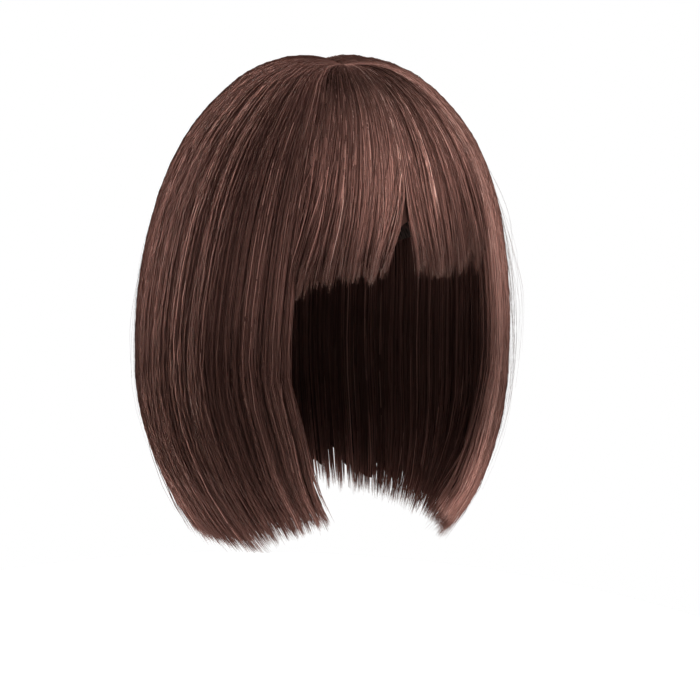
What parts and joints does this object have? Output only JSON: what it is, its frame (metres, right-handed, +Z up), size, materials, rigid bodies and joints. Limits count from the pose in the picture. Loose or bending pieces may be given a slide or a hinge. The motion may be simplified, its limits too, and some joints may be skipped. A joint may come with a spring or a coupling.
{
  "type": "short wig",
  "caption": "Short straight bob wig with a full arched fringe: hair in locks on a close cap, open for the head below and the face in front.",
  "frame": {"origin": "inside of the cap at the top of the head, where the wig rests on its wearer", "axes": "+Z up, out of the top of the head; -Y the way the face looks; +X the wearer's left"},
  "size_m": [0.2146, 0.2207, 0.2735],
  "materials": {
    "hair": "dark reddish brown straight fibre, silky",
    "cap": "dark brown net"
  },
  "bodies": {
    "root": {"cap": "cap", "fringe": "hair", "hair_right": "hair", "hair_left": "hair", "hair_back": "hair"}
  },
  "joints": []
}
